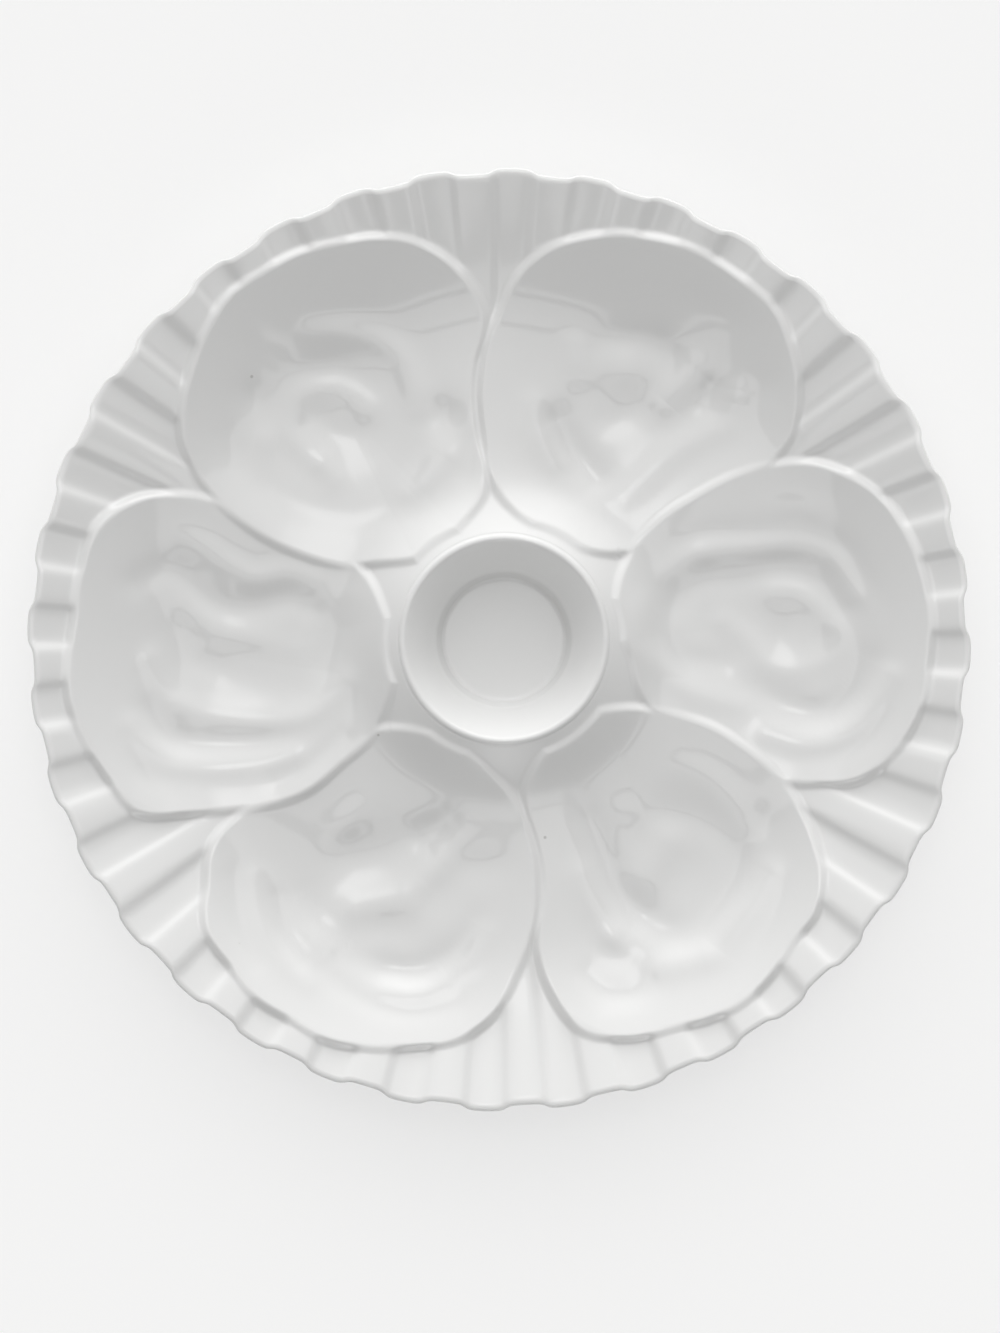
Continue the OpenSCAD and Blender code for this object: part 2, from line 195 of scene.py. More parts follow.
# Swells seen in each bowl, anticlockwise from the upper left one, as rows of a Swell's fields
SWELLS = (
    # First well: a curl wound round a small hollow, under a fold that turns down its right
    (
        (((312, 332), (345, 331), (378, 339), (400, 356), (412, 384), (417, 404)), 0.85, 2.8, 0.5),
        (((366, 406), (345, 391), (316, 388), (294, 400), (288, 424), (300, 444),
          (316, 456)), 0.65, 2.8, 0.8),
        (((324, 464), (332, 474)), 0.55, 2.7, 0.9),
        (((356, 476), (376, 466)), 0.15, 3, 0.7),
        (((320, 418), (334, 430), (354, 434)), -0.45, 2.6, 0.8),
        (((252, 436), (278, 440)), 0.4, 3),
        (((228, 438), (236, 462)), -0.4, 3, 0.8),
        (((262, 484), (292, 502), (330, 514), (366, 516), (408, 506)), -0.4, 3.4, 0.9),
        (((286, 368), (312, 367), (340, 366), (366, 380)), -0.4, 2.4),
        (((252, 394),), -0.5, 3.2),
        (((412, 492), (430, 476), (444, 456)), 0.85, 3, 0.7),
        (((444, 412),), -0.9, 3.6),
        (((470, 440), (466, 474)), -0.4, 2.2, 0.8),
        (((226, 490), (246, 514), (284, 530)), 0.25, 3.4),
    ),
    # Second well: three knuckles over a long fold, and a soft hollow on their left
    (
        (((576, 344), (578, 374)), 0.75, 2.6, 0.8),
        (((612, 366), (642, 370)), 1.0, 4, 0.8),
        (((604, 420), (638, 408)), -0.45, 3.2, 0.8),
        (((696, 366), (681, 384), (667, 400)), 1.4, 3.4, 0.7),
        (((664, 346),), -0.4, 3),
        (((612, 334), (654, 334)), -0.4, 2.6, 0.8),
        (((738, 388), (736, 402)), 0.5, 2.4, 0.8),
        (((712, 384), (704, 402)), -0.5, 2, 0.8),
        (((728, 424), (702, 434), (672, 452), (646, 476), (624, 496)), 0.7, 3, 0.6),
        (((560, 420), (572, 444), (596, 476)), -1.4, 3.2, 0.8),
        (((516, 452), (532, 476), (566, 492)), -0.4, 3.6, 0.6),
        (((534, 402), (542, 432), (554, 460)), 0.6, 2.4, 0.6),
        (((770, 386),), -0.25, 3.2),
        (((700, 300), (734, 324)), -0.25, 3.4, 0.8),
    ),
    # Third well: a hollow wound round a raised ring, between two long folds
    (
        (((668, 570), (686, 559), (708, 551), (746, 547), (800, 544), (834, 556),
          (856, 594)), 0.5, 2.3, 0.7),
        (((704, 552),), 0.3, 2.6),
        (((842, 606), (820, 580), (784, 568), (744, 577), (704, 582), (674, 604), (666, 632),
          (686, 658), (722, 664)), -0.45, 2.8, 0.9),
        (((756, 690), (790, 706), (824, 711), (852, 694), (872, 662)), -1.05, 3, 0.4),
        (((776, 593), (802, 595), (826, 611), (842, 636), (830, 658), (798, 670), (768, 662),
          (750, 640), (728, 621)), 0.45, 2.6, 0.9),
        (((786, 632),), -0.35, 3.4),
        (((770, 734), (804, 744), (840, 738), (868, 716), (892, 676)), 0.8, 2.4, 0.7),
        (((636, 606), (638, 644), (660, 668), (694, 692), (736, 703)), 0.6, 2.8, 0.8),
        (((678, 540), (712, 529), (746, 529), (782, 528)), -0.3, 2.1),
        (((772, 505), (800, 505), (832, 514)), 0.35, 2.6),
        (((818, 534), (848, 548), (866, 574), (882, 602)), -0.35, 2.3),
        (((888, 716), (868, 742), (838, 762)), -0.3, 2),
    ),
    # Fourth well: a low knuckle in a ring of hollows, with folds wound round it
    (
        (((666, 846), (650, 876)), 0.75, 3.8, 0.9),
        (((584, 806), (600, 846), (612, 884), (634, 914), (676, 932), (712, 916), (738, 878),
          (732, 842), (702, 820), (668, 811)), -0.5, 3.4, 0.8),
        (((592, 822), (606, 856), (620, 888), (644, 914)), -0.9, 2.8, 0.7),
        (((672, 932),), -0.2, 3.4),
        (((584, 878), (600, 912), (618, 938), (640, 950)), 0.8, 3, 0.6),
        (((614, 938),), 0.5, 2.6),
        (((588, 978), (606, 992), (630, 996), (650, 984)), -0.8, 2.8, 0.6),
        (((722, 952), (738, 928), (754, 904), (770, 874)), 1.1, 3.2, 0.5),
        (((662, 970), (704, 960)), 0.75, 2.8, 0.9),
        (((684, 769), (706, 778), (728, 798), (742, 822)), 0.5, 3.2, 0.7),
        (((766, 822),), -0.3, 3),
        (((622, 812), (634, 812)), 0.2, 2.6, 0.8),
        (((604, 1008),), -0.25, 2.6),
    ),
    # Fifth well: a bright knuckle over a crescent hollow, and rings down its left
    (
        (((356, 908), (400, 900)), 1.15, 4, 0.9),
        (((420, 920), (444, 928)), 0.4, 4.6, 0.8),
        (((424, 884), (442, 866)), 0.55, 2.8, 0.8),
        (((352, 856), (380, 850), (408, 838)), -0.85, 4.6, 1.0),
        (((388, 970),), -0.35, 3.2),
        (((426, 838), (446, 822)), -1.0, 3.2, 0.8),
        (((346, 956), (378, 970), (414, 973), (452, 958), (476, 926)), -1.0, 2.9, 0.3),
        (((386, 992), (412, 997), (440, 990)), 0.55, 2.2, 0.6),
        (((446, 976), (470, 958), (484, 934)), 0.5, 2.6, 0.7),
        (((322, 974), (346, 992), (378, 1008), (414, 1014), (458, 1008)), -0.4, 2.4, 0.6),
        (((252, 880), (262, 926), (282, 962), (306, 984)), 0.5, 2.2, 0.6),
        (((276, 900), (284, 936), (300, 962)), -0.45, 2.1, 0.7),
        (((302, 896), (314, 918)), -0.3, 2.6, 0.8),
        (((308, 938), (324, 952)), 0.35, 2.3, 0.8),
        (((228, 880), (236, 926), (254, 962)), -0.45, 2.3, 0.7),
        (((466, 868), (492, 866)), -0.5, 3.6, 0.8),
        (((332, 840), (350, 820), (366, 800)), 0.5, 2.8),
    ),
    # Sixth well: two waves over a smooth pool, and folds wound round under it
    (
        (((182, 536), (206, 549), (226, 564), (252, 576), (286, 572), (312, 580)), 0.6, 2.5, 0.6),
        (((134, 582), (158, 569), (180, 573), (200, 592), (222, 604), (254, 606), (288, 600),
          (306, 606)), -0.65, 2.8, 0.8),
        (((184, 604), (204, 622), (222, 633), (252, 639), (292, 646)), 0.4, 2.6, 0.5),
        (((180, 632), (190, 658), (214, 668)), -0.5, 3.2, 0.8),
        (((236, 676), (290, 688)), -0.25, 3.4, 0.9),
        (((148, 660), (160, 686), (182, 706), (216, 716), (262, 721), (304, 716), (328, 700),
          (346, 680)), 0.55, 2.5, 1.0),
        (((178, 704),), 0.25, 2.6),
        (((146, 706), (160, 730), (178, 741), (216, 743), (252, 742), (286, 740)), -0.6, 2.3, 0.3),
        (((148, 712), (163, 730), (180, 739)), -0.3, 2.3, 0.8),
        (((130, 726), (146, 747), (172, 765), (212, 769), (260, 765), (292, 756)), 0.65, 2.4, 0.6),
        (((134, 764), (146, 780), (168, 792)), -0.4, 2.2),
        (((334, 594), (360, 594)), 0.25, 2.6, 0.8),
        (((340, 630), (324, 664)), -0.3, 2.6, 0.8),
        (((276, 784), (312, 766), (342, 738)), -0.6, 2.4, 0.8),
    ),
)


@dataclass(frozen=True)
class WellShape:
    """Plan of one oyster well: where it lies, the outline of its lip and its swells."""

    bearing: float
    distance: float
    outline_shares: tuple[float, ...]
    swells: tuple[Swell, ...] = ()

    @property
    def centre(self) -> complex:
        """Centre of the well in plan."""
        return self.distance * complex(math.cos(self.bearing), math.sin(self.bearing))


def photographed_wells(ring_r: float) -> tuple[WellShape, ...]:
    """Describe the six wells of the photograph, anticlockwise from the upper left.

    Args:
        ring_r: Radius of the ring that a plain well's centre lies on.

    Returns:
        The six wells, with their outlines at even steps of 15 degrees from +X.
    """
    rows = (
        (124.2, 1.03, (0.88, 0.93, 1.10, 1.14, 1.13, 1.07, 0.99, 0.96, 0.93, 0.95, 0.93, 0.94,
                       0.97, 1.02, 1.01, 0.99, 0.99, 1.01, 1.05, 1.08, 1.15, 1.13, 1.11, 0.94)),
        (60.6, 1.01, (1.02, 1.01, 1.01, 0.97, 0.96, 0.97, 0.99, 1.03, 1.07, 1.08, 1.03, 1.02,
                      1.02, 1.03, 1.10, 1.10, 1.05, 1.06, 1.02, 0.98, 0.94, 0.93, 0.96, 1.02)),
        (3.7, 0.956, (1.03, 1.03, 1.04, 1.07, 1.07, 1.06, 1.00, 0.96, 0.94, 0.96, 0.98, 0.99,
                      0.96, 0.90, 0.93, 0.93, 0.93, 0.96, 1.01, 1.07, 1.16, 1.15, 1.11, 1.05)),
        (-53.7, 1.03, (0.96, 0.94, 0.93, 0.93, 0.94, 0.98, 1.02, 1.10, 1.15, 1.12, 1.08, 0.90,
                       0.82, 0.86, 0.99, 1.08, 1.15, 1.08, 0.98, 0.95, 0.93, 0.90, 0.88, 0.95)),
        (-117.5, 0.988, (1.07, 1.07, 1.08, 1.05, 1.05, 1.04, 1.01, 0.96, 0.93, 0.92, 0.95, 1.05,
                         1.05, 1.08, 1.02, 1.01, 0.98, 1.01, 1.02, 1.05, 1.12, 1.13, 1.08, 1.08)),
        (-176.7, 0.955, (1.05, 1.02, 1.01, 0.97, 0.94, 0.93, 0.96, 1.06, 1.16, 1.18, 1.09, 1.02,
                         1.02, 1.06, 1.07, 1.10, 1.16, 1.05, 0.99, 0.99, 1.00, 0.99, 1.04, 1.05)),
    )
    return tuple(
        WellShape(math.radians(bearing), share * ring_r, outline,
                  tuple(Swell(*row) for row in swells))
        for (bearing, share, outline), swells in zip(rows, SWELLS)
    )


@dataclass(frozen=True)
class PlateForm:
    """Surface of the whole plate as heights over the table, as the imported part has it.

    The flutes and the lips' flanks are a little finer than the solids' facets, and the edge's
    roll narrower, as the photograph has them.
    """

    rim_r: float = 125 * MM
    rim_h: float = 22.5 * MM
    dish_angle: float = math.radians(17)
    flute_count: int = 36
    flute_h: float = 1.3 * MM
    flute_square_share: float = 0.55
    flute_fade: float = 6 * MM
    ridge_angle: float = math.radians(3.3)
    scallop_depth: float = 1.6 * MM
    edge_w: float = 1.6 * MM
    edge_t: float = 3 * MM
    rim_w: float = 8 * MM
    well_r: float = 42 * MM
    well_floor_z: float = 9 * MM
    lip_h: float = 1.8 * MM
    lip_w: float = 4.4 * MM
    lip_flank_w: float = 3.2 * MM
    back_flank_w: float = 8.8 * MM
    saddle_z: float = 11.5 * MM
    round_share: float = 0.5
    near_lip_share: float = 0.5
    # Bearings to each side, in degrees, over which a bowl's outline is averaged
    bowl_blur: tuple[float, ...] = (-24, -18, -12, -6, 0, 6, 12, 18, 24)
    # The swells keep their height over most of a bowl and end at its lip
    swell_end_power: int = 8
    cup_r: float = 27.5 * MM
    cup_h: float = 20.5 * MM
    cup_shift: float = 1.3 * MM
    flank_w: float = 1.1 * MM
    flank_drop: float = 1.3 * MM
    collar_w: float = 0.9 * MM
    mound_angle: float = math.radians(31)
    blend_w: float = 3 * MM
    wall: float = 4.5 * MM
    foot_r: float = 66 * MM
    foot_h: float = 3 * MM
    land_w: float = 9 * MM
    land_fade: float = 6 * MM
    # The wells from the lowest of the stack to the highest
    stacking: tuple[int, ...] = (4, 1, 5, 2, 0, 3)
    wells: tuple[WellShape, ...] = field(default_factory=tuple)

    @property
    def ring_r(self) -> float:
        """Radius of the ring that a plain well's centre lies on."""
        return self.rim_r - self.rim_w - self.well_r

    @property
    def cup_out_r(self) -> float:
        """Radius at which the cup's outer flank meets the mound."""
        return self.cup_r + self.flank_w

    @property
    def cup_centre(self) -> complex:
        """Centre of the cup in plan, a little off the plate's."""
        return complex(self.cup_shift, 0)

    def lip_radius(self, k: int, angles: Values) -> Values:
        """Measure a well to the middle of its lip's flank, stopped short of the cup.

        Args:
            k: The well's place in the list.
            angles: Bearings from the well's centre, in radians.

        Returns:
            The radius at each bearing, in metres.
        """
        well = self.wells[k]
        own = self.well_r * closed_curve(well.outline_shares, angles / TURN)
        to_cup = (self.cup_centre - well.centre) * np.conj(ray(angles))
        reach = (self.cup_out_r + self.collar_w) ** 2 - to_cup.imag**2
        meets = (to_cup.real > 0) & (reach > 0)
        stop = np.where(meets, to_cup.real - np.sqrt(np.maximum(reach, 0)), self.rim_r)
        return np.minimum(own, stop - self.lip_w / 2)

    def bowl_radius(self, k: int, angles: Values) -> Values:
        """Measure a well to its lip, averaged over nearby bearings so that the bowl is even."""
        spread = np.radians(self.bowl_blur)
        return sum(self.lip_radius(k, angles + offset) for offset in spread) / len(spread)

    def foot_radius(self, k: int, angles: Values) -> Values:
        """Measure a well to the foot of its lip, where the next region starts."""
        return self.lip_radius(k, angles) + self.lip_w / 2

    def inside(self, k: int, p: Plan) -> Values:
        """Tell which places lie inside the foot of a well's lip."""
        v = p - self.wells[k].centre
        return np.abs(v) < self.foot_radius(k, np.angle(v))

    def soft_max(self, a: Values | float, b: Values | float) -> Values:
        """The higher of two heights, with the valley between them rounded."""
        return (a + b + np.sqrt((a - b) ** 2 + self.blend_w**2)) / 2

    def base_height(self, p: Plan) -> Values:
        """Height of the mound, the saddles and the dish, before wells and flutes.

        Args:
            p: Places in plan.

        Returns:
            The height at each place.
        """
        beyond = np.abs(p - self.cup_centre) - self.cup_out_r
        mound = self.cup_h - self.flank_drop - beyond * math.tan(self.mound_angle)
        dish = self.rim_h - (self.rim_r - np.abs(p)) * math.tan(self.dish_angle)
        return self.soft_max(self.soft_max(mound, self.saddle_z), dish)

    def flute_wave(self, angles: Values) -> Values:
        """Wave of the flutes round the plate: 1 on a ridge and -1 in a channel."""
        c = np.cos(self.flute_count * (angles - self.ridge_angle))
        k = 1 - self.flute_square_share
        return c * math.sqrt(1 + k * k) / np.sqrt(c * c + k * k)

    def flute_height(self, p: Plan) -> Values:
        """Height that the flutes add, fading out inwards."""
        fade = smooth((np.abs(p) - self.ring_r) / self.flute_fade)
        return self.flute_h / 2 * self.flute_wave(np.angle(p)) * fade

    def lip_height(self, k: int, angles: Values) -> Values:
        """Height of a well's lip over its base, lower where it runs into the cup."""
        p = self.wells[k].centre + self.lip_radius(k, angles) * ray(angles)
        open_share = (np.abs(p - self.cup_centre) - self.cup_out_r) / self.well_r
        return self.lip_h * smooth(open_share + self.near_lip_share)

    def paint_well(self, k: int, p: Plan, z: Values, flank: float, swells: bool) -> Values:
        """Lay a well over what lies under it.

        Args:
            k: The well's place in the list.
            p: Places in plan.
            z: Heights there so far.
            flank: Width over which the lip falls to what lies beside it.
            swells: Whether the bowl has its swells.

        Returns:
            The heights with the well's bowl and lip in them.
        """
        well = self.wells[k]
        v = p - well.centre
        d, a = np.abs(v), np.angle(v)
        r = self.lip_radius(k, a)
        # The flank lies half to each side of the lip's line
        cover = 1 - smooth((d - r) / flank + 1 / 2)
        s = np.minimum(1, d / self.bowl_radius(k, a))
        c = self.round_share
        rise = (np.hypot(s, c) - c) / (math.hypot(1, c) - c)
        sunk = self.well_floor_z - self.saddle_z
        bowl = self.base_height(p) + mix(sunk, self.lip_height(k, a), rise)
        if swells:
            near = d < r
            fade = 1 - s[near] ** self.swell_end_power
            bowl[near] += sum(swell.lift(p[near]) for swell in well.swells) * fade
        return mix(z, bowl, cover)

    def top_height(self, p: Plan) -> Values:
        """Height of the glazed top.

        Args:
            p: Places in plan.

        Returns:
            The height at each place.
        """
        z = self.base_height(p) + self.flute_height(p)
        for k in self.stacking:
            z = self.paint_well(k, p, z, self.lip_flank_w, swells=True)
        return z

    def back_height(self, p: Plan) -> Values:
        """Height of the underside, which follows the top softly, with flat land at the foot.

        Args:
            p: Places in plan.

        Returns:
            The height at each place.
        """
        z = self.base_height(p)
        for k in self.stacking:
            z = self.paint_well(k, p, z, self.back_flank_w, swells=False)
        under = np.minimum(z, self.top_height(p)) - self.wall
        land = 1 - smooth((np.abs(np.abs(p) - self.foot_r) - self.land_w) / self.land_fade)
        return mix(np.maximum(self.foot_h, under), self.foot_h, land)

    def march(self, origin: complex, angles: Values, start: float, stop: Values | float,
              over: Sequence[int]) -> tuple[Values, Values]:
        """Follow rays until they enter a well.

        Args:
            origin: Where the rays start.
            angles: Their bearings.
            start: Distance at which the rays start to look.
            stop: Distance at which they, or each of them, give up.
            over: The wells to look for.

        Returns:
            The distance of each ray's first entry, or its stop, and which well it met, or -1.
        """
        met = np.full(angles.shape, -1)
        reach = np.zeros(angles.shape) + stop
        t = mix(start, reach, np.linspace(0, 1, MARCH_STEPS)[:, None])
        for k in over:
            found = self.inside(k, origin + t * ray(angles))
            first = found.argmax(axis=0)
            low = np.take_along_axis(t, np.maximum(first - 1, 0)[None], 0)[0]
            high = np.take_along_axis(t, first[None], 0)[0]
            for _ in range(HALVINGS):
                middle = (low + high) / 2
                hit = self.inside(k, origin + middle * ray(angles))
                low, high = np.where(hit, low, middle), np.where(hit, middle, high)
            nearer = found.any(axis=0) & (np.abs(high - start) < np.abs(reach - start))
            reach, met = np.where(nearer, high, reach), np.where(nearer, k, met)
        return reach, met

    def well_boundary(self, k: int, angles: Values) -> tuple[Values, Values]:
        """Distance from a well's centre to where it ends or a higher well covers it."""
        above = self.stacking[self.stacking.index(k) + 1:]
        return self.march(self.wells[k].centre, angles, 0.0, self.foot_radius(k, angles), above)

    def rim_boundary(self, angles: Values) -> tuple[Values, Values]:
        """Distance from the plate's centre to where the rim meets the wells."""
        return self.march(0j, angles, self.rim_r, self.cup_r, self.stacking)

    def collar_boundary(self, angles: Values) -> tuple[Values, Values]:
        """Distance from the plate's centre, from inside the cup's flank, to the wells."""
        return self.march(0j, angles, self.cup_r - 2 * self.flank_w, self.rim_r, self.stacking)


def columns(count: int, start: float,
            boundary: Callable[[Values], tuple[Values, Values]]) -> Values:
    """Space columns, closer where a boundary runs off steeply, with one on each of its corners.

    Args:
        count: Number of columns.
        start: Bearing of the first.
        boundary: Gives, for bearings, the distance to the boundary and which well makes it.

    Returns:
        The bearings of the columns in rising order.
    """
    fine = start + TURN * np.linspace(0, 1, FINE_SHARE * count + 1)
    reach = boundary(fine)[0]
    run = np.abs(np.diff(reach * ray(fine))) + reach.max() * np.diff(fine)
    run = np.concatenate([[0], np.cumsum(run)])
    angles = np.interp(run[-1] * np.arange(count) / count, run, fine)
    following = np.append(angles[1:], angles[0] + TURN)
    owner = boundary(angles)[1]
    turns = np.flatnonzero(owner != np.roll(owner, -1))
    low, high = angles[turns], following[turns]
    for _ in range(CORNER_HALVINGS):
        middle = (low + high) / 2
        same = boundary(middle)[1] == owner[turns]
        low, high = np.where(same, middle, low), np.where(same, high, middle)
    early = low - angles[turns] < following[turns] - low
    nearest = np.where(early, turns, (turns + 1) % count)
    angles[nearest] = low
    return np.sort(np.mod(angles, TURN))


def add_primitive(name: str, operator: Callable[..., object], **sizes: float) -> Object:
    """Add a primitive with nothing else selected, and name it.

    Args:
        name: Name of the new object.
        operator: What adds the primitive.
        **sizes: What the operator takes.

    Returns:
        The new object.
    """
    bpy.ops.object.select_all(action="DESELECT")
    operator(**sizes)
    piece = bpy.context.active_object
    piece.name = name
    return piece


def activate(piece: Object) -> None:
    """Make a piece the only selected object and the active one."""
    bpy.ops.object.select_all(action="DESELECT")
    piece.select_set(True)
    bpy.context.view_layer.objects.active = piece


def select_edges(piece: Object, chosen: Callable[[MeshEdge], bool]) -> None:
    """Open a piece in edit mode with only the edges that pass a test selected.

    Args:
        piece: The object to open.
        chosen: The test.
    """
    activate(piece)
    bpy.ops.object.mode_set(mode="EDIT")
    bpy.ops.mesh.select_mode(type="EDGE")
    bpy.ops.mesh.select_all(action="DESELECT")
    bpy.ops.object.mode_set(mode="OBJECT")
    for edge in piece.data.edges:
        edge.select = chosen(edge)
    bpy.ops.object.mode_set(mode="EDIT")


def close_and_smooth(piece: Object, sharp: float = math.radians(50)) -> None:
    """Merge a mesh's seams and poles, turn its faces out and shade it smooth.

    Args:
        piece: The object to finish.
        sharp: Angle over which an edge stays sharp, in radians.
    """
    activate(piece)
    bpy.ops.object.mode_set(mode="EDIT")
    bpy.ops.mesh.select_all(action="SELECT")
    bpy.ops.mesh.remove_doubles(threshold=MERGE)
    bpy.ops.mesh.normals_make_consistent(inside=False)
    bpy.ops.object.mode_set(mode="OBJECT")
    bpy.ops.object.shade_smooth_by_angle(angle=sharp)


def skin(name: str, plan: Plan, heights: Values, ends: Ends) -> Object:
    """Stretch a grid over rows of places and close it into a solid.

    The form is sculpted freely, so a grid is added and each of its points is put in place.

    Args:
        name: Name of the piece.
        plan: Places in plan, one row after another, each row going once round.
        heights: Their heights.
        ends: Whether the rows come round on themselves or end in poles.

    Returns:
        The finished object.
    """
    if ends is Ends.ROUND:
        plan, heights = np.vstack([plan, plan[:1]]), np.vstack([heights, heights[:1]])
    plan, heights = np.hstack([plan, plan[:, :1]]), np.hstack([heights, heights[:, :1]])
    rows, around = plan.shape
    piece = add_primitive(name, bpy.ops.mesh.primitive_grid_add, size=1,
                          x_subdivisions=around - 1, y_subdivisions=rows - 1)
    points = np.stack([plan.real, plan.imag, heights], axis=-1).astype(np.float32)
    piece.data.vertices.foreach_set("co", points.ravel())
    close_and_smooth(piece)
    return piece


def spun(name: str, section: Sequence[complex], centre: complex, steps: int,
         sharp: float) -> Object:
    """Turn a section about an upright axis, as on a jigger.

    Args:
        name: Name of the piece.
        section: Closed row of points, radius + i height.
        centre: Place of the axis in plan.
        steps: Number of steps in the full turn.
        sharp: Angle over which an edge stays sharp, in radians.

    Returns:
        The finished object.
    """
    piece = add_primitive(name, bpy.ops.mesh.primitive_circle_add, vertices=len(section))
    for vertex, point in zip(piece.data.vertices, section):
        vertex.co = (centre.real + point.real, centre.imag, point.imag)
    on_axis = [abs(point.real) < MERGE for point in section]
    select_edges(piece, lambda edge: all(on_axis[v] for v in edge.vertices))
    bpy.ops.mesh.delete(type="EDGE")
    bpy.ops.mesh.select_all(action="SELECT")
    bpy.ops.mesh.spin(steps=steps, angle=TURN, center=(centre.real, centre.imag, 0), axis=(0, 0, 1))
    bpy.ops.object.mode_set(mode="OBJECT")
    close_and_smooth(piece, sharp)
    return piece


def arc(centre: complex, radius: float, start: float, end: float, steps: int = 10) -> list[complex]:
    """Points of a rounding about a centre, from one angle to another in degrees."""
    return [centre + radius * np.exp(1j * math.radians(mix(start, end, i / steps)))
            for i in range(steps + 1)]


@dataclass
class OysterWell:
    """One shell-shaped bowl with its lip, in the stack of six."""

    form: PlateForm
    index: int
    around: int = 600
    bowl_rows: int = 58
    lip_rows: int = 20
    back_rows: int = 16

    @property
    def name(self) -> str:
        """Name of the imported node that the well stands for."""
        return f"oyster_well_{self.index + 1}"

    def build(self) -> Object:
        """Build the well from its middle over the lip and back underneath.

        Returns:
            The well's skin.
        """
        form, k = self.form, self.index
        angles = columns(self.around, 0.0, lambda a: form.well_boundary(k, a))
        reach = form.well_boundary(k, angles)[0]
        # Rows lie closer over the lip, in a band along the well's end
        band = 2 * form.lip_w
        bowl = np.linspace(0, 1, self.bowl_rows)[:, None] * (reach - band)
        lip = reach - band + band * np.linspace(0, 1, self.lip_rows + 1)[1:, None]
        back = np.linspace(1, 0, self.back_rows)[:, None] * reach
        centre = form.wells[k].centre
        top = centre + np.vstack([bowl, lip]) * ray(angles)
        under = centre + back * ray(angles)
        heights = np.vstack([form.top_height(top), form.back_height(under)])
        return skin(self.name + "_glazed", np.vstack([top, under]), heights, Ends.POLES)


@dataclass
class FlutedRim:
    """Sloping dish with its flutes, the scalloped rolled edge and the bays between wells.

    The roll is squarer than an ellipse, and its fullest place lies under a share of its height.
    The dish's slope runs on over a share of the roll.
    """

    form: PlateForm
    name: str = "fluted_rim"
    per_flute: int = 30
    dish_rows: int = 30
    edge_rows: int = 18
    back_rows: int = 16
    square_power: float = 0.62
    upper_share: float = 0.42
    run_on_share: float = 0.25

    def build(self) -> Object:
        """Build the rim from the wells out over the edge and back underneath.

        Returns:
            The rim's skin.
        """
        form = self.form
        angles = columns(form.flute_count * self.per_flute, form.ridge_angle, form.rim_boundary)
        inner = form.rim_boundary(angles)[0]
        edge_r = form.rim_r - form.scallop_depth / 2 * (1 + form.flute_wave(angles))
        roll_r = edge_r - form.edge_w
        dish = mix(inner, roll_r, np.linspace(0, 1, self.dish_rows)[:, None])
        turn = np.linspace(0, math.pi, self.edge_rows + 1)[1:, None]
        out, up = np.sin(turn) ** self.square_power, np.abs(np.cos(turn)) ** self.square_power
        rise = smooth(2 * turn / math.pi) * self.run_on_share * form.edge_w
        drop = form.edge_t * np.where(turn < math.pi / 2, self.upper_share * (1 - up),
                                      mix(self.upper_share, 1.0, up))
        edge_z = form.top_height(roll_r * ray(angles)) + rise * math.tan(form.dish_angle) - drop
        back = mix(roll_r - form.edge_w, inner, np.linspace(0, 1, self.back_rows)[:, None])
        plan = np.vstack([dish, roll_r + form.edge_w * out, back]) * ray(angles)
        heights = np.vstack([form.top_height(dish * ray(angles)), edge_z,
                             form.back_height(back * ray(angles))])
        return skin(self.name + "_glazed", plan, heights, Ends.ROUND)


@dataclass
class CupCollar:
    """Flank of the mound round the cup, with six points that run out between the wells."""

    form: PlateForm
    name: str = "cup_collar"
    around: int = 720
    top_rows: int = 26
    back_rows: int = 8

    def build(self) -> Object:
        """Build the collar from the cup's flank out to the wells and back underneath.

        Returns:
            The collar's skin.
        """
        form = self.form
        angles = columns(self.around, 0.0, form.collar_boundary)
        outer = form.collar_boundary(angles)[0]
        to_cup = form.cup_centre * np.conj(ray(angles))
        near = to_cup.real + np.sqrt(form.cup_out_r**2 - to_cup.imag**2)
        top = mix(near, outer, np.linspace(0, 1, self.top_rows)[:, None])
        back = mix(outer, near, np.linspace(0, 1, self.back_rows)[:, None])
        plan = np.vstack([top, back]) * ray(angles)
        heights = np.vstack([form.top_height(top * ray(angles)),
                             form.back_height(back * ray(angles))])
        return skin(self.name + "_glazed", plan, heights, Ends.ROUND)


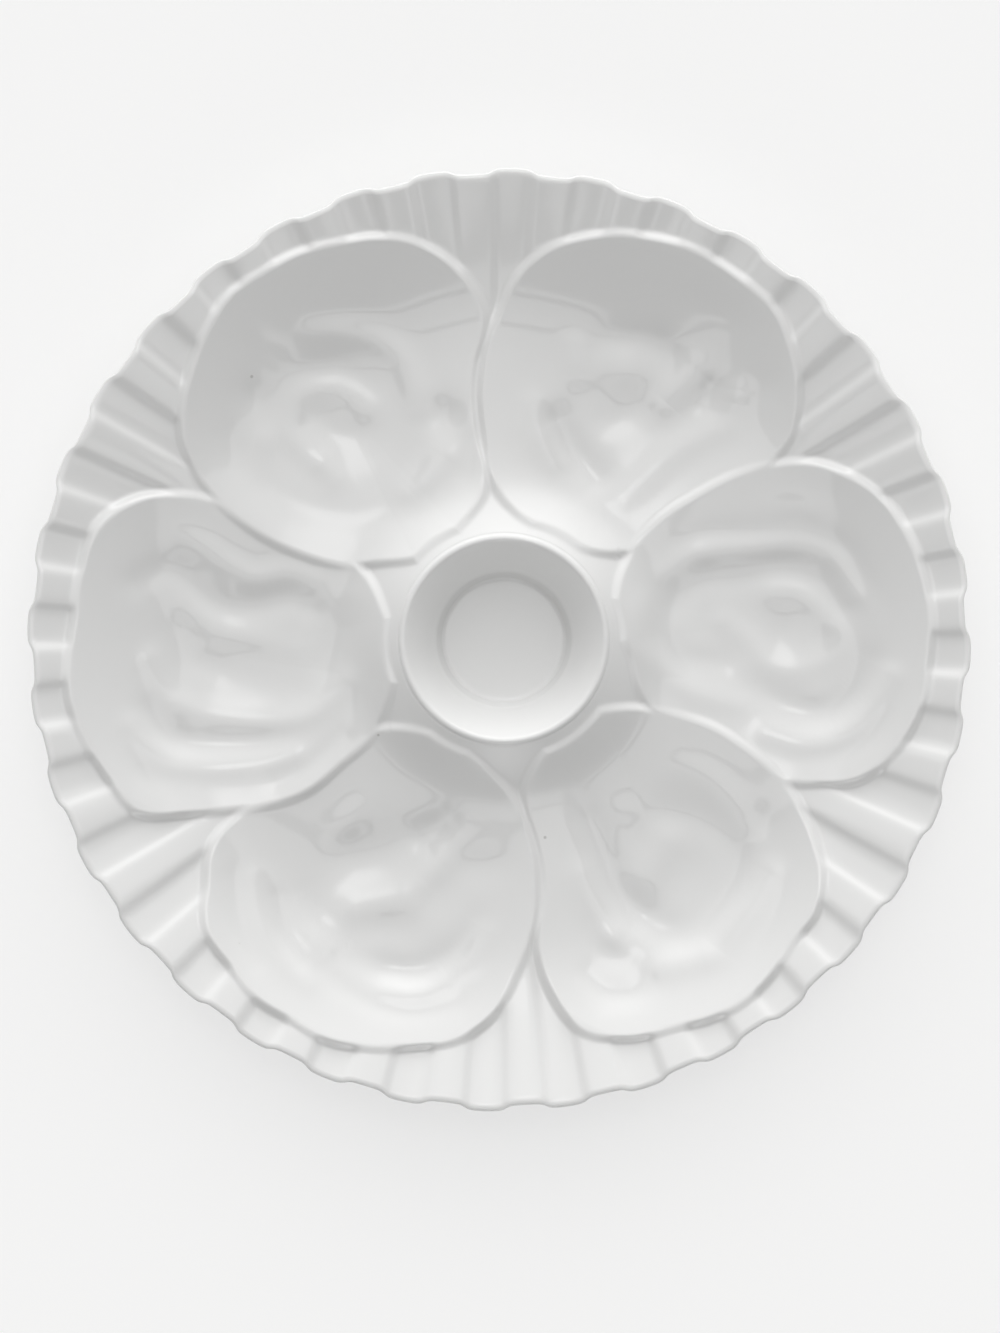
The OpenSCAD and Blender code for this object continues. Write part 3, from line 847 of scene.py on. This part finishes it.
@dataclass
class SauceCup:
    """Round cup in the middle: rounded crest, cone, short steep wall and flat floor.

    Angles are in degrees, from away from the cup's axis. The knee is where the wall turns soft
    into the cone, given by its steps from their meeting point.
    """

    form: PlateForm
    name: str = "sauce_cup"
    floor_r: float = 15.4 * MM
    floor_z: float = 6.5 * MM
    floor_round: float = 1.4 * MM
    wall_angle: float = -15
    knee: tuple[complex, complex] = (complex(-0.35, -0.9) * MM, complex(0.15, 0.35) * MM)
    crest_round: float = 1.2 * MM
    crest_angles: tuple[float, float] = (140, 20)
    steep_h: float = 4.5 * MM
    steep_w: float = 1.4 * MM
    rows: int = 12
    steps: int = 288
    sharp: float = math.radians(60)

    def section(self) -> list[complex]:
        """Section of the cup from its floor over the crest and back under the floor.

        Returns:
            Points of the section, radius + i height.
        """
        form, rows = self.form, self.rows
        wall_r = self.floor_r + self.floor_round
        cone_foot = complex(wall_r + self.steep_w, self.floor_z + self.steep_h)
        crest = complex(form.cup_r - self.crest_round / 2, form.cup_h - self.crest_round)
        crown = arc(crest, self.crest_round, *self.crest_angles)
        edge_z = float(form.base_height(np.array(form.cup_centre + form.cup_out_r)))
        return [
            *(complex(self.floor_r * i / rows, self.floor_z) for i in range(rows)),
            *arc(complex(self.floor_r, self.floor_z + self.floor_round), self.floor_round,
                 DOWN, self.wall_angle),
            *(cone_foot + step for step in self.knee),
            *(mix(cone_foot, crown[0], i / rows) for i in range(1, rows)),
            *crown,
            complex(form.cup_out_r, edge_z),
            complex(form.cup_out_r, edge_z - form.wall),
            cone_foot + complex(form.wall / 2, -form.wall),
            complex(wall_r, form.foot_h),
            complex(0, form.foot_h),
        ]

    def build(self) -> Object:
        """Turn the cup's section about the cup's own axis."""
        return spun(self.name + "_glazed", self.section(), self.form.cup_centre, self.steps,
                    self.sharp)


@dataclass
class FootRing:
    """Ring that the plate stands on, turned true and wiped clean of glaze."""

    form: PlateForm
    name: str = "foot_ring"
    width: float = 5 * MM
    rounding: float = 1 * MM
    arc_steps: int = 8
    steps: int = 320
    sharp: float = math.radians(50)

    def build(self) -> Object:
        """Turn the ring's section about the plate's axis.

        Returns:
            The ring.
        """
        inner = self.form.foot_r - self.width / 2
        outer = self.form.foot_r + self.width / 2
        r = self.rounding
        section = [
            complex(inner, self.form.foot_h),
            *arc(complex(inner + r, r), r, INWARD, DOWN, self.arc_steps),
            *arc(complex(outer - r, r), r, DOWN, OUTWARD, self.arc_steps),
            complex(outer, self.form.foot_h),
        ]
        return spun(self.name + "_turned", section, 0j, self.steps, self.sharp)


def linear(hex_colour: str) -> tuple[float, float, float, float]:
    """Turn an sRGB hex colour into the linear one that a shader takes, along sRGB's own curve."""
    channels = [int(hex_colour[i:i + 2], 16) / 255 for i in (0, 2, 4)]
    r, g, b = (c / 12.92 if c <= 0.04045 else ((c + 0.055) / 1.055) ** 2.4 for c in channels)
    return r, g, b, 1.0


def empty_tree(owner: Material | World) -> NodeTree:
    """Give a material or a world a node tree with nothing in it."""
    owner.use_nodes = True
    owner.node_tree.nodes.clear()
    return owner.node_tree


def add_node(tree: NodeTree, kind: str, feeds: dict[str | int, object] | None = None,
             **settings: object) -> Node:
    """Add a node with its settings and feed its inputs.

    Args:
        tree: The node tree to add to.
        kind: The node's type name, without the ShaderNode that it starts with.
        feeds: What each input takes: a value, a socket, or a node for its first output.
        **settings: Attributes of the node itself.

    Returns:
        The new node.
    """
    node = tree.nodes.new("ShaderNode" + kind)
    for key, value in settings.items():
        setattr(node, key, value)
    for key, feed in (feeds or {}).items():
        source = feed.outputs[0] if isinstance(feed, Node) else feed
        if isinstance(source, NodeSocket):
            tree.links.new(source, node.inputs[key])
        else:
            node.inputs[key].default_value = source
    return node


@dataclass(frozen=True)
class PorcelainGlaze:
    """Clear feldspar glaze, dipped and fired over white porcelain."""

    # Fired level and glossy, it mirrors the room sharply, bent only by slow waves. It pools in
    # the hollows, where it looks a shade cooler, and thins on the crests. Rare specks of iron
    # from the clay show through it.
    name: str = "porcelain_clear_glaze"
    crest: str = "F0F0EF"
    pooled: str = "EBEBEA"
    speck: str = "8E8A84"
    ior: float = 1.58
    roughness: float = 0.04
    gloss_shares: tuple[float, float] = (0.8, 1.25)
    low: float = 7 * MM
    high: float = 22 * MM
    wave_length: float = 11 * MM
    wave_depth: float = 0.03 * MM
    wave_detail: float = 1.5
    # The fine ripple is nearly nil, as a deeper one blurs the mirrored lines
    peel_length: float = 1.6 * MM
    peel_depth: float = 0.0008 * MM
    peel_detail: float = 2.0
    speck_cell: float = 34 * MM
    speck_r: float = 0.35 * MM
    speck_soft: float = 1.6
    speck_share: float = 0.4

    def build(self) -> Material:
        """Build the glaze from its height over the table, soft waves and rare specks.

        Returns:
            The glaze's material.
        """
        material = bpy.data.materials.new(self.name)
        add = partial(add_node, empty_tree(material))
        place = add("TexCoord").outputs["Object"]
        height = add("SeparateXYZ", {0: place}).outputs["Z"]
        thin = add("MapRange", {"Value": height, "From Min": self.low, "From Max": self.high},
                   interpolation_type="SMOOTHSTEP")
        body = add("Mix", {0: thin, 6: linear(self.pooled), 7: linear(self.crest)},
                   data_type="RGBA")
        cells = add("TexVoronoi",
                    {"Vector": place, "Scale": 1 / self.speck_cell, "Randomness": 1.0})
        radius = self.speck_r / self.speck_cell
        dot = add("MapRange", {"Value": cells.outputs["Distance"], "From Max": radius,
                               "From Min": radius * self.speck_soft, "To Max": self.speck_share})
        colour = add("Mix", {0: dot, 6: body.outputs[2], 7: linear(self.speck)},
                     data_type="RGBA")
        wave = add("TexNoise", {"Vector": place, "Scale": 1 / self.wave_length,
                                "Detail": self.wave_detail})
        peel = add("TexNoise", {"Vector": place, "Scale": 1 / self.peel_length,
                                "Detail": self.peel_detail})
        slow = add("Bump", {"Height": wave, "Strength": 1.0, "Distance": self.wave_depth})
        fine = add("Bump", {"Height": peel, "Normal": slow, "Strength": 1.0,
                            "Distance": self.peel_depth})
        sharp, soft = (self.roughness * share for share in self.gloss_shares)
        gloss = add("MapRange", {"Value": wave, "To Min": sharp, "To Max": soft})
        shader = add("BsdfPrincipled", {"Base Color": colour.outputs[2], "Roughness": gloss,
                                        "Normal": fine, "IOR": self.ior})
        add("OutputMaterial", {"Surface": shader})
        return material


@dataclass(frozen=True)
class BisqueFoot:
    """Bare fired porcelain of a foot that was wiped clean of glaze."""

    # Fired without glaze, it is matt, warm white and finely gritty
    name: str = "porcelain_bisque"
    bare: str = "E8E4DB"
    worn: str = "D6D0C4"
    ior: float = 1.5
    roughness: float = 0.7
    tone_length: float = 14 * MM
    tone_detail: float = 3.0
    # Real grit is too fine to show, so it is drawn coarser
    grit: float = 0.35 * MM
    grit_depth: float = 0.02 * MM
    grit_detail: float = 2.0

    def build(self) -> Material:
        """Build the bisque from fine grit and a slow change of tone.

        Returns:
            The bisque's material.
        """
        material = bpy.data.materials.new(self.name)
        add = partial(add_node, empty_tree(material))
        place = add("TexCoord").outputs["Object"]
        tone = add("TexNoise", {"Vector": place, "Scale": 1 / self.tone_length,
                                "Detail": self.tone_detail})
        colour = add("Mix", {0: tone, 6: linear(self.bare), 7: linear(self.worn)},
                     data_type="RGBA")
        grain = add("TexNoise", {"Vector": place, "Scale": 1 / self.grit,
                                 "Detail": self.grit_detail})
        bump = add("Bump", {"Height": grain, "Strength": 1.0, "Distance": self.grit_depth})
        shader = add("BsdfPrincipled", {"Base Color": colour.outputs[2], "Normal": bump,
                                        "Roughness": self.roughness, "IOR": self.ior})
        add("OutputMaterial", {"Surface": shader})
        return material


@dataclass(frozen=True)
class StudioFloor:
    """Seamless white paper: matt, and for the camera lit evenly up to its pale tone."""

    name: str = "studio_paper"
    paper: str = "EDEDEC"
    glow: float = 0.635
    shade_share: float = 0.42
    size: float = 4.0

    def material(self) -> Material:
        """Build the paper: plain for the object's light, and pale where the camera sees it.

        Returns:
            The paper's material.
        """
        material = bpy.data.materials.new(self.name)
        add = partial(add_node, empty_tree(material))
        path = add("LightPath").outputs
        seen = add("Math", {0: path["Is Camera Ray"], 1: path["Is Glossy Ray"]},
                   operation="MAXIMUM")
        white = linear(self.paper)
        dim = tuple(c * self.shade_share for c in white[:3]) + (1.0,)
        plain = add("BsdfDiffuse", {"Color": white})
        shaded = add("BsdfDiffuse", {"Color": dim})
        lit = add("Emission", {"Strength": self.glow})
        pale = add("AddShader", {0: shaded, 1: lit})
        chosen = add("MixShader", {0: seen, 1: plain, 2: pale})
        add("OutputMaterial", {"Surface": chosen})
        return material

    def build(self) -> None:
        """Lay the paper under the plate."""
        floor = add_primitive("studio_floor", bpy.ops.mesh.primitive_plane_add, size=self.size)
        floor.data.materials.append(self.material())


@dataclass(frozen=True)
class RoomLight:
    """Soft patch of light on the studio's walls or ceiling, straight ahead or behind.

    It leans from overhead towards the top of the photograph, or away from it if its lean is below
    zero, and fades out over its spread, the more suddenly the higher its edge.
    """

    lean: float
    spread: float
    radiance: float
    edge: float = 2.0

    def glow(self, tree: NodeTree, way: NodeSocket) -> Node:
        """Work out the patch's light from each direction.

        Args:
            tree: The world's node tree.
            way: The direction looked in.

        Returns:
            The node that gives the light from there.
        """
        add = partial(add_node, tree)
        middle = (0.0, math.sin(self.lean), math.cos(self.lean))
        facing = add("VectorMath", {0: way, 1: middle}, operation="DOT_PRODUCT")
        angle = add("Math", {0: facing.outputs["Value"]}, operation="ARCCOSINE")
        share = add("Math", {0: angle, 1: self.spread}, operation="DIVIDE")
        steep = add("Math", {0: share, 1: self.edge}, operation="POWER")
        loss = add("Math", {0: steep, 1: -1.0}, operation="MULTIPLY")
        fade = add("Math", {0: loss}, operation="EXPONENT")
        return add("Math", {0: fade, 1: self.radiance}, operation="MULTIPLY")


@dataclass(frozen=True)
class CeilingPanel:
    """Even white panel overhead, with a sharp near edge and dark seams.

    The glaze mirrors the edge and the seams as the thin winding lines in the wells. Places on
    it are shares of a unit dome, seen from straight above.
    """

    radiance: float = 0.85
    near_edge: float = -0.52
    far_fade: tuple[float, float] = (0.2, 0.7)
    half_width: float = 0.42
    soft: float = 0.03
    seams: tuple[float, ...] = (-0.45, -0.2)
    seam_half: float = 0.014
    seam_soft: float = 0.012

    def glow(self, tree: NodeTree, way: NodeSocket) -> Node:
        """Work out the panel's light from each direction.

        Args:
            tree: The world's node tree.
            way: The direction looked in.

        Returns:
            The node that gives the light from there.
        """
        add = partial(add_node, tree)
        place = add("SeparateXYZ", {0: way})
        ahead = place.outputs["Y"]
        across = add("Math", {0: place.outputs["X"]}, operation="ABSOLUTE")
        fades = [
            (ahead, self.near_edge, self.near_edge + self.soft),
            (ahead, self.far_fade[1], self.far_fade[0]),
            (across, self.half_width + self.soft, self.half_width),
        ]
        for seam in self.seams:
            off = add("Math", {0: ahead, 1: seam}, operation="SUBTRACT")
            distance = add("Math", {0: off}, operation="ABSOLUTE")
            fades.append((distance, self.seam_half, self.seam_half + self.seam_soft))
        total = self.radiance
        for value, dark, lit in fades:
            fade = add("MapRange", {"Value": value, "From Min": dark, "From Max": lit},
                       interpolation_type="SMOOTHSTEP")
            total = add("Math", {0: total, 1: fade}, operation="MULTIPLY")
        return total


@dataclass(frozen=True)
class Studio:
    """Plain white room lit from a wide window beyond the plate, and the camera over it."""

    lens_mm: float = 150.0
    film_mm: float = 36.0
    room: float = 0.01
    pale: float = 0.9
    white: tuple[float, float, float, float] = (1.0, 1.0, 1.0, 1.0)
    lights: tuple[RoomLight | CeilingPanel, ...] = (
        RoomLight(math.radians(96), math.radians(56), 3.2),
        RoomLight(math.radians(-72), math.radians(15), 2.9),
        RoomLight(math.radians(20), math.radians(8), 1.7, 4.0),
        CeilingPanel(),
    )

    def light(self) -> None:
        """Light the room softly, and keep it pale where the camera sees it."""
        world = bpy.data.worlds.new("studio_room")
        bpy.context.scene.world = world
        tree = empty_tree(world)
        add = partial(add_node, tree)
        way = add("TexCoord").outputs["Generated"]
        total = self.room
        for patch in self.lights:
            total = add("Math", {0: total, 1: patch.glow(tree, way)}, operation="ADD")
        room = add("Background", {"Strength": total, "Color": self.white})
        seen = add("Background", {"Strength": self.pale, "Color": self.white})
        camera_ray = add("LightPath").outputs["Is Camera Ray"]
        chosen = add("MixShader", {0: camera_ray, 1: room, 2: seen})
        add("OutputWorld", {"Surface": chosen})

    def aim_camera(self, form: PlateForm) -> None:
        """Hang the camera straight over the plate, framed as in the photograph.

        Args:
            form: The plate's form, for its height.
        """
        data = bpy.data.cameras.new("photo_camera")
        data.lens = self.lens_mm
        data.sensor_fit = "VERTICAL"
        data.sensor_height = self.film_mm
        camera = bpy.data.objects.new("photo_camera", data)
        bpy.context.scene.collection.objects.link(camera)
        middle = PHOTO.place(PHOTO.frame_px[0] / 2, PHOTO.frame_px[1] / 2)
        away = PHOTO.frame_px[1] * PHOTO.pixel * self.lens_mm / self.film_mm
        camera.location = (middle.real, middle.imag, form.rim_h + away)
        bpy.context.scene.camera = camera


def finish_piece(piece: Object, node: str, material: Material) -> None:
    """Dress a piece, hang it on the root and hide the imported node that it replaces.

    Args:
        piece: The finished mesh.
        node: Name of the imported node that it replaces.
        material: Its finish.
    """
    piece.data.materials.append(material)
    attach(piece, "root")
    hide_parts(node)
    piece.data.calc_loop_triangles()
    log.info("%s: %d triangles", piece.name, len(piece.data.loop_triangles))


def main() -> None:
    """Build the plate's regions in order, dress them and set up the studio."""
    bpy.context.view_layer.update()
    bpy.context.scene.view_settings.view_transform = "Standard"
    plain = PlateForm()
    form = PlateForm(wells=photographed_wells(plain.ring_r))
    glaze = PorcelainGlaze().build()
    bisque = BisqueFoot().build()
    wells = [OysterWell(form, k) for k in range(len(form.wells))]
    for part in [FlutedRim(form), *wells, CupCollar(form), SauceCup(form)]:
        finish_piece(part.build(), part.name, glaze)
    foot = FootRing(form)
    finish_piece(foot.build(), foot.name, bisque)
    StudioFloor().build()
    studio = Studio()
    studio.light()
    studio.aim_camera(form)


if __name__ == "__main__":
    main()
